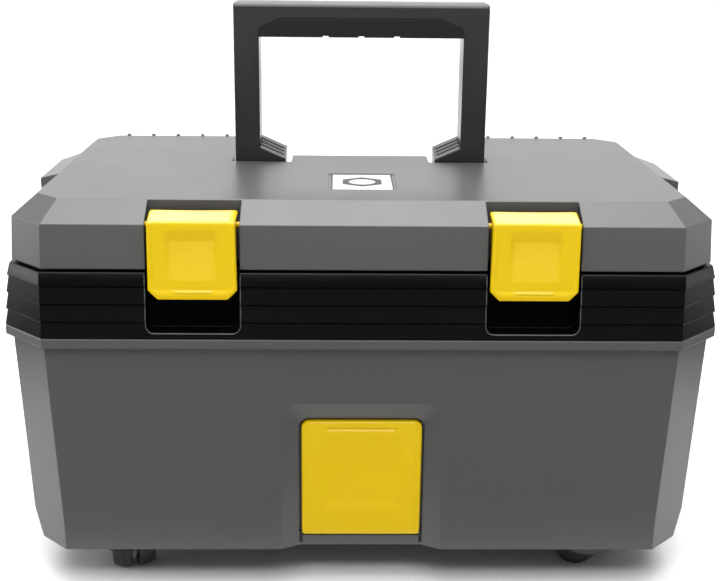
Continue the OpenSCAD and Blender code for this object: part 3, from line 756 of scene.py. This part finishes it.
@dataclass
class Latch(Assembly):
    """A yellow over-centre latch: a bent plate with a dished front, side cheeks, stubs and a hook."""

    side: Side
    half: float = 35.0
    crease_half: float = 34.1
    front: float = -184.0
    top: float = 319.5
    foot: float = 256.5
    rear: float = -158.0
    rear_rise: float = 4.0
    thickness: float = 3.0
    corner: float = 7.5
    rear_corner: float = 2.6
    crease_radius: float = 2.4
    dish_depth: float = 3.8
    dish_half: float = 21.6
    bead_line: float = 56.2
    bead_half: float = 14.6
    bead_radius: float = 1.15
    pivot: Flat = (-168.0, 314.0)
    stub_radius: float = 2.2
    columns: int = 61
    rows: int = 150

    def front_depth(self, x: float, s: float) -> float:
        """Depth of the front face behind its foremost plane.

        Args:
            x: distance from the middle.
            s: distance below the crease.

        Returns:
            Depth in millimetres.
        """
        height = self.top - self.foot
        base = 1.5 * (1 - ease(54.0, 58.5, s))
        # the dish: steep at its top, with straight sides, and running out towards the foot
        fall = self.dish_depth * (s - 6.2) / 9.8
        run_out = self.dish_depth * (1 - (s - 16.5) / 31.0)
        sides = min(1.0, max(0.0, (self.dish_half - abs(x)) / 4.6))
        dish = max(0.0, smooth_min(fall, run_out, 0.35)) * sides
        # bevelled bands along the sides, the cut corners and the foot
        edge = self.half - abs(x)
        slant = (edge + height - s - self.corner) / math.sqrt(2)
        near = smooth_min(smooth_min(edge, slant, 1.2), (height - s) * 1.1, 1.2)
        band = 1.2 * min(1.0, max(0.0, 1 - near / 4.2)) + round_over(near, 1.5)
        bead = 1.3 * capsule_depth(x, s, self.bead_line, self.bead_half, self.bead_radius)
        return base * ease(1.5, 5.0, near) + dish + band - bead

    def column(self, x: float) -> list[Point]:
        """Closed outline of the bent plate at one x.

        Args:
            x: distance from the middle.

        Returns:
            Its points, from the rear of the flange over the crease and down the front.
        """
        cut = max(0.0, abs(x) - (self.half - self.corner))
        edge = self.half - abs(x)
        lean = 0.9 * (1 - ease(0.0, 1.2, edge))
        foot = self.foot + cut
        # the flange's rear edge is a little hollow between round corners
        corner = self.rear_corner
        rear = self.rear - 1.2 * (1 - (x / self.half) ** 2)
        if edge < corner:
            rear -= corner - math.sqrt(max(0.0, corner**2 - (corner - edge) ** 2))
        crease_y = self.front + 3.0
        slope = self.rear_rise / (self.rear - crease_y)
        points: list[Point] = []
        for i in range(9):
            y = rear + (crease_y + 0.6 - rear) * i / 8
            points.append((x, y, self.top + slope * (y - crease_y) - 0.5 - lean + 0.25 * ease(0, 6, edge)))
        last = points[-1]
        start = self.crease_radius
        reach = last[1] - (self.front + self.front_depth(x, start))
        fall = last[2] - self.top + start
        for i in range(1, 5):
            t = i / 5 * math.pi / 2
            points.append((x, last[1] - reach * math.sin(t), last[2] - fall * (1 - math.cos(t))))
        for i in range(self.rows + 1):
            s = start + (self.top - foot - start) * i / self.rows
            points.append((x, self.front + self.front_depth(x, s), self.top - s))
        back = self.front + 5.5
        points.append((x, back - 0.8, foot))
        points.append((x, back, foot + 0.8))
        for i in range(1, 13):
            points.append((x, back, foot + 0.8 + (self.top - 5.0 - foot - 0.8) * i / 12))
        points.append((x, back + 1.0, self.top - self.thickness - 0.4))
        for i in range(1, 7):
            y = back + 1.0 + (rear + 0.4 - back - 1.0) * i / 6
            points.append((x, y, self.top + slope * (y - crease_y) - self.thickness + 0.1))
        return [(px * self.width_at(pz), py, pz) for px, py, pz in points]

    def width_at(self, z: float) -> float:
        """Share of the full half width at a height: the plate is slightly narrower at its crease."""
        down = min(1.0, max(0.0, (self.top - z) / (self.top - self.foot)))
        at_crease = self.crease_half / self.half
        if z > self.top - 0.5:
            return at_crease + (1 - at_crease) * min(1.0, (z - self.top + 0.5) / self.rear_rise)
        return at_crease + (1 - at_crease) * down

    def build(self) -> bpy.types.Object:
        """Builds the latch.

        Returns:
            The latch, in place of its frame node.
        """
        parts = MeshParts.empty()
        parts.loft([self.column(u * self.half) for u in spread(self.columns)])
        pivot_y, pivot_z = self.pivot
        cheek = [
            (self.front + 4.5, self.top - 3.5),
            (self.rear - 2.6, self.top + 2.2),
            (self.rear - 3.4, pivot_z - 7.0),
            (pivot_y - 4.0, 285.5),
            (pivot_y - 4.0, self.foot + 10.0),
            (self.front + 4.5, self.foot + 8.6),
        ]
        for sign in (-1, 1):
            inner, outer = sign * (self.half - 3.2), sign * (self.crease_half - 0.1)
            parts.prism_x(cheek, min(inner, outer), max(inner, outer))
            root, tip = sign * (self.half - 3.3), sign * (self.half + 4.6)
            radius = self.stub_radius
            profile = [(root, radius), (tip - sign * 0.5, radius), (tip, radius - 0.5)]
            parts.lathe_x(profile, (0.0, pivot_y, pivot_z), 40)
        catch = self.foot + 8.0
        hook = [
            (self.front + 5.0, catch - 4.0),
            (self.front + 5.0, catch + 6.0),
            (-171.7, catch + 2.5),
            (-171.7, catch - 1.5),
        ]
        parts.prism_x(hook, -10.0, 10.0)
        name = f"latch_{self.side.label}"
        place = Matrix.Translation((self.side.value * LATCH_OFFSET, 0.0, 0.0))
        piece = parts.build(f"{name}_plate", place)
        return self.finish_piece(piece, YELLOW_ABS, name, "yellow_plastic", [name])


@dataclass
class Handle(Assembly):
    """The folding bail handle and the insert in its grip."""

    edge_mm: float = 2.4

    def build(self) -> None:
        """Dresses the frame of the handle and its insert."""
        self.dress("handle_frame", BLACK_HANDLE, self.edge_mm)
        self.dress("handle_grip", BLACK_GRIP, 0.5)


@dataclass
class FrontDoor(Assembly):
    """The yellow door of the small-parts bin: a dished plate on a barrel."""

    hinge: Vector
    half: float = 49.75
    top: float = 101.6
    barrel: float = 4.0
    lean: float = math.radians(2.089108)
    corner: float = 7.0
    foot_corner: float = 2.6
    back: float = 2.0
    groove_line: float = 6.9
    groove_half: float = 27.0
    groove_radius: float = 1.6
    columns: int = 101
    rows: int = 150

    def front_depth(self, x: float, s: float) -> float:
        """Depth of the front face behind its foremost plane.

        Args:
            x: distance from the middle.
            s: distance below the top edge.

        Returns:
            Depth in millimetres.
        """
        sides = min(1.0, max(0.0, (34.5 - abs(x)) / 8.0))
        foot = min(1.0, max(0.0, (81.0 - s) / 10.0))
        run_in = 2.5 * ease(6.0, 40.0, s) - 1.2 * ease(40.0, 78.0, s)
        dish = run_in * smooth_min(sides, foot, 0.15)
        edge = self.half - abs(x)
        band = 0.8 * (1 - ease(1.0, 7.0, edge)) + round_over(min(edge, s), 2.0)
        groove = capsule_depth(x, s, self.groove_line, self.groove_half, self.groove_radius)
        return 0.05 + dish + band + groove

    def column(self, x: float) -> list[Point]:
        """Closed outline of the door at one x, in the door's own leaning frame.

        Args:
            x: distance from the middle.

        Returns:
            Its points, down the front, round the barrel and up the back.
        """
        edge = self.half - abs(x)
        top = self.top - round_over(edge, self.corner)
        points: list[Point] = []
        for u in spread(self.rows, 0.3):
            s = (u + 1) / 2 * self.top
            points.append((x, -self.barrel + self.front_depth(x, s), top - s * top / self.top))
        radius = self.barrel - round_over(edge, self.foot_corner)
        for i in range(1, 16):
            a = math.pi + math.pi * i / 15
            points.append((x, radius * math.cos(a), radius * math.sin(a)))
        low, high = radius * 0.9, top - 0.6
        points += [(x, self.back, low + (high - low) * i / 10) for i in range(11)]
        points.append((x, self.back - 0.6, top))
        return points

    def build(self) -> bpy.types.Object:
        """Builds the door.

        Returns:
            The door, in place of its frame node.
        """
        parts = MeshParts.empty()
        parts.loft([self.column(u * self.half) for u in spread(self.columns, 0.6)])
        place = Matrix.Translation(self.hinge / MM) @ Matrix.Rotation(self.lean, 4, "X")
        piece = parts.build("front_door_panel", place)
        return self.finish_piece(piece, YELLOW_ABS, "front_door", "yellow_plastic", ["front_door"])


@dataclass
class Tray(Assembly):
    """The lift-out tray and its two dividers."""

    edge_mm: float = 0.7

    def build(self) -> None:
        """Dresses the tray and the dividers."""
        self.dress("tray", TRAY_PLASTIC, self.edge_mm)
        for side in Side:
            self.dress(f"tray_divider_{side.label}", TRAY_PLASTIC, 0.4)


@dataclass
class Caster(Assembly):
    """A twin-wheel swivel caster under a hood."""

    corner: CasterPlace
    spread_x: float = 200.0
    spread_y: float = 127.0
    trail: float = 7.0
    radius: float = 20.0
    gap: float = 2.6
    width: float = 15.0
    tread: float = 4.0
    bore: float = 2.6
    groove_at: float = 7.4
    groove_depth: float = 0.55

    def wheel_profile(self) -> list[Flat]:
        """Gives the wheel's profile as x from the inner face, and radius."""
        swing = math.asin((self.width - self.tread) / self.radius)
        profile: list[Flat] = [(0.0, self.bore), (0.0, 17.6), (0.5, 19.2), (1.0, self.radius - 0.1)]
        # a shallow groove parts the tyre from the hub shell
        for i in range(25):
            a = swing * i / 24
            x = self.tread + self.radius * math.sin(a)
            dip = self.groove_depth * math.exp(-(((x - self.groove_at) / 0.35) ** 2))
            profile.append((x, self.radius * math.cos(a) - dip))
        rim = profile[-1][1]
        width, sunk = self.width, self.width - 0.9
        hub = [(width, rim - 0.6), (sunk, rim - 1.2), (sunk, 5.2), (width, 4.6), (width, self.bore)]
        return profile + hub

    def build(self) -> None:
        """Dresses the hood, stem and axle, and builds the two wheels."""
        name = self.corner.label
        self.dress(f"caster_hood_{name}", CASTER_NYLON, 0.6)
        self.dress(f"caster_stem_{name}", PIN_STEEL, 0.0)
        self.dress(f"caster_axle_{name}", PIN_STEEL, 0.3)
        sign_x, sign_y, heading = self.corner.value
        place = Matrix.Translation((sign_x * self.spread_x, sign_y * self.spread_y, 0.0))
        place = place @ Matrix.Rotation(math.radians(heading), 4, "Z")
        place = place @ Matrix.Translation((0.0, self.trail, self.radius))
        for side in Side:
            parts = MeshParts.empty()
            profile = [(side.value * (self.gap + x), r) for x, r in self.wheel_profile()]
            parts.lathe_x(profile, (0.0, 0.0, 0.0), 72)
            node = f"caster_wheel_{side.label}_{name}"
            piece = parts.build(f"wheel_tyre_{side.label}_{name}", place)
            self.finish_piece(piece, WHEEL_RUBBER, f"wheel_{side.label}_{name}", "wheel_black", [node], 32.0)


# ---------- Studio ----------


@dataclass
class SoftLight:
    """A rectangular soft light: where it is, what it points at, its sides and its power."""

    name: str
    place: Point
    target: Point
    size: Flat
    watts: float


@dataclass
class Studio:
    """A pale floor, soft lights and the camera, in metres apart from the camera's place.

    The cards are given as left, front, right and rear; the horizon as the rise over which its
    glow gives way to the walls.
    """

    palette: Palette
    floor_half: float = 14.0
    cards: tuple[tuple[float, float, float, float], ...] = (
        (-2.5, -3.5, 2.5, -0.235),
        (-2.5, -0.235, -0.7, 0.25),
        (0.7, -0.235, 2.5, 0.25),
    )
    card_lift: float = 0.004
    horizon_level: float = 1.05
    wall_level: float = 0.25
    horizon: Flat = (0.03, 0.12)
    ceiling_level: float = 9.0
    ceiling_focus: float = 5.0
    ceiling_narrowing: float = 0.35
    focal_mm: float = 61.35
    camera_mm: Point = (-22.1, -1101.9, 540.7)
    pitch: float = 16.69
    yaw: float = 1.19
    roll: float = 0.61

    def lights(self) -> list[SoftLight]:
        """Lists the lights."""
        aim = (0.0, 0.0, 0.2)
        return [
            SoftLight("overhead_box", (0.0, 0.1, 2.6), aim, (2.2, 1.6), 8.0),
            SoftLight("rear_wall", (0.0, 2.6, 1.25), (0.0, 0.0, 0.5), (6.0, 2.3), 36.0),
            SoftLight("left_box", (-2.4, 0.0, 0.9), aim, (1.2, 1.6), 25.0),
            SoftLight("right_box", (2.4, 0.2, 0.9), aim, (1.2, 1.6), 5.5),
            SoftLight("front_box", (0.0, -1.5, 1.7), (0.0, -0.4, 0.0), (1.8, 0.5), 17.0),
            SoftLight("rear_high_strip", (0.0, 2.3, 2.0), (0.0, 0.0, 0.3), (2.4, 0.35), 13.0),
        ]

    def build(self) -> None:
        """Builds floor, lights, surround and camera."""
        mesh = bpy.data.meshes.new("studio_floor")
        h = self.floor_half
        mesh.from_pydata([(-h, -h, 0), (h, -h, 0), (h, h, 0), (-h, h, 0)], [], [(0, 1, 2, 3)])
        floor = bpy.data.objects.new("studio_floor", mesh)
        bpy.context.scene.collection.objects.link(floor)
        mesh.materials.append(self.palette.get(StudioFloor()))
        self.painted_reflection_card()
        for light in self.lights():
            self.hang(light)
        self.surround()
        bpy.context.scene.view_settings.view_transform = "Standard"
        self.aim_camera()

    def painted_reflection_card(self) -> None:
        """Lays black card round the box, which only reflections see: a painted dark reflection of the floor
        that keeps the dark faces deep.
        """
        mesh = bpy.data.meshes.new("painted_reflection_card")
        points: list[Point] = []
        for left, front, right, back in self.cards:
            corners = ((left, front), (right, front), (right, back), (left, back))
            points += [(x, y, self.card_lift) for x, y in corners]
        mesh.from_pydata(points, [], [tuple(range(i, i + 4)) for i in range(0, len(points), 4)])
        card = bpy.data.objects.new("painted_reflection_card", mesh)
        bpy.context.scene.collection.objects.link(card)
        mesh.materials.append(self.palette.get(DARK_REFLECTION_CARD))
        # hidden from camera, diffuse and shadow rays, so the card only paints dark reflections
        for ray in ("camera", "diffuse", "transmission", "volume_scatter", "shadow"):
            setattr(card, f"visible_{ray}", False)

    def surround(self) -> None:
        """Lights the room: dim walls that brighten towards a wide ceiling light."""
        world = bpy.data.worlds.new("soft_surround")
        world.use_nodes = True
        tree = world.node_tree
        sky = tree.nodes["Background"]
        sky.inputs["Color"].default_value = linear("#ffffff")
        way = add_node(tree, "ShaderNodeTexCoord").outputs["Generated"]
        axes = add_node(tree, "ShaderNodeSeparateXYZ", {0: way}).outputs
        # the ceiling light is a long one, front to rear, so it fades faster to the sides
        across = add_node(tree, "ShaderNodeMath", {0: axes["X"]}, operation="ABSOLUTE").outputs[0]
        height = {0: across, 1: -self.ceiling_narrowing, 2: axes["Z"]}
        raised = add_node(tree, "ShaderNodeMath", height, operation="MULTIPLY_ADD").outputs[0]
        above = add_node(tree, "ShaderNodeMath", {0: raised, 1: 0.0}, operation="MAXIMUM").outputs[0]
        focus = {0: above, 1: self.ceiling_focus}
        peak = add_node(tree, "ShaderNodeMath", focus, operation="POWER").outputs[0]
        # a white horizon under dim walls
        low, high = self.horizon
        walls = {"Value": axes["Z"], "From Min": low, "From Max": high}
        walls |= {"To Min": self.horizon_level, "To Max": self.wall_level}
        wall = add_node(tree, "ShaderNodeMapRange", walls).outputs["Result"]
        light = {0: peak, 1: self.ceiling_level, 2: wall}
        glow = add_node(tree, "ShaderNodeMath", light, operation="MULTIPLY_ADD").outputs[0]
        tree.links.new(glow, sky.inputs["Strength"])
        bpy.context.scene.world = world

    def hang(self, light: SoftLight) -> None:
        """Hangs one soft light, which the camera itself doesn't see."""
        data = bpy.data.lights.new(light.name, "AREA")
        data.shape = "RECTANGLE"
        data.size, data.size_y = light.size
        data.energy = light.watts
        lamp = bpy.data.objects.new(light.name, data)
        lamp.location = light.place
        look = Vector(light.target) - Vector(light.place)
        lamp.rotation_euler = look.to_track_quat("-Z", "Y").to_euler()
        lamp.visible_camera = False
        bpy.context.scene.collection.objects.link(lamp)

    def aim_camera(self) -> None:
        """Sets the camera at a standing viewer's distance, a little above the lid."""
        pitch, yaw, roll = (math.radians(a) for a in (self.pitch, self.yaw, self.roll))
        ahead = Vector((math.sin(yaw) * math.cos(pitch), math.cos(yaw) * math.cos(pitch), -math.sin(pitch)))
        level = Vector((math.cos(yaw), -math.sin(yaw), 0.0))
        lift = level.cross(ahead)
        right = level * math.cos(roll) + lift * math.sin(roll)
        up = lift * math.cos(roll) - level * math.sin(roll)
        data = bpy.data.cameras.new("view_camera")
        data.lens = self.focal_mm
        data.sensor_width = 36.0
        camera = bpy.data.objects.new("view_camera", data)
        turn = Matrix((right, up, -ahead)).transposed().to_4x4()
        camera.matrix_world = Matrix.Translation(Vector(self.camera_mm) * MM) @ turn
        bpy.context.scene.collection.objects.link(camera)
        bpy.context.scene.camera = camera


def main() -> None:
    """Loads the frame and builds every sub-assembly."""
    logging.basicConfig(level=logging.INFO, format="%(name)s: %(message)s")
    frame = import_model()
    hinge = next(Vector(joint["pos_m"]) for joint in frame["joints"] if joint["name"] == "door_hinge")
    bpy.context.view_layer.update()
    palette = Palette()
    Studio(palette).build()
    Shell(palette).build()
    RimFrame(palette).build()
    Lid(palette).build()
    for side in Side:
        Latch(palette, side).build()
    Handle(palette).build()
    FrontDoor(palette, hinge).build()
    Tray(palette).build()
    for corner in CasterPlace:
        Caster(palette, corner).build()


if __name__ == "__main__":
    main()
